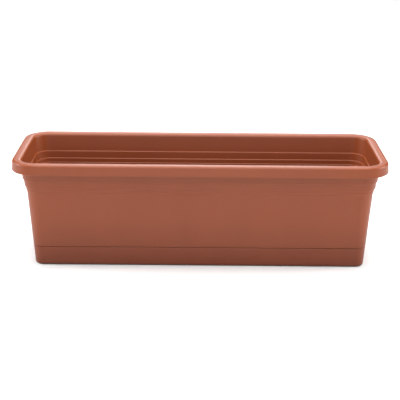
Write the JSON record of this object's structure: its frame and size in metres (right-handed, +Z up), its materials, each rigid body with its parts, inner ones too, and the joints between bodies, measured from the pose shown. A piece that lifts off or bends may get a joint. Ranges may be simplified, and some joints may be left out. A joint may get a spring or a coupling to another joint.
{
  "type": "window box planter",
  "caption": "Long rectangular plastic planter with a rolled rim and a stepped, tapered wall, standing in a flush drip tray.",
  "frame": {"origin": "centre of the drip tray's underside, on the ground", "axes": "+X along the length, +Y from the front to the back, +Z up"},
  "size_m": [0.5998, 0.1998, 0.18],
  "materials": {
    "terracotta_plastic": "satin, terracotta brown"
  },
  "bodies": {
    "tray": {"drip_tray": "terracotta_plastic"},
    "planter": {"trough": "terracotta_plastic"}
  },
  "joints": [
    {"name": "trough_lift", "type": "slide", "parent": "tray", "child": "planter", "axis": [0, 0, 1], "range_m": [0, 0.045]}
  ]
}
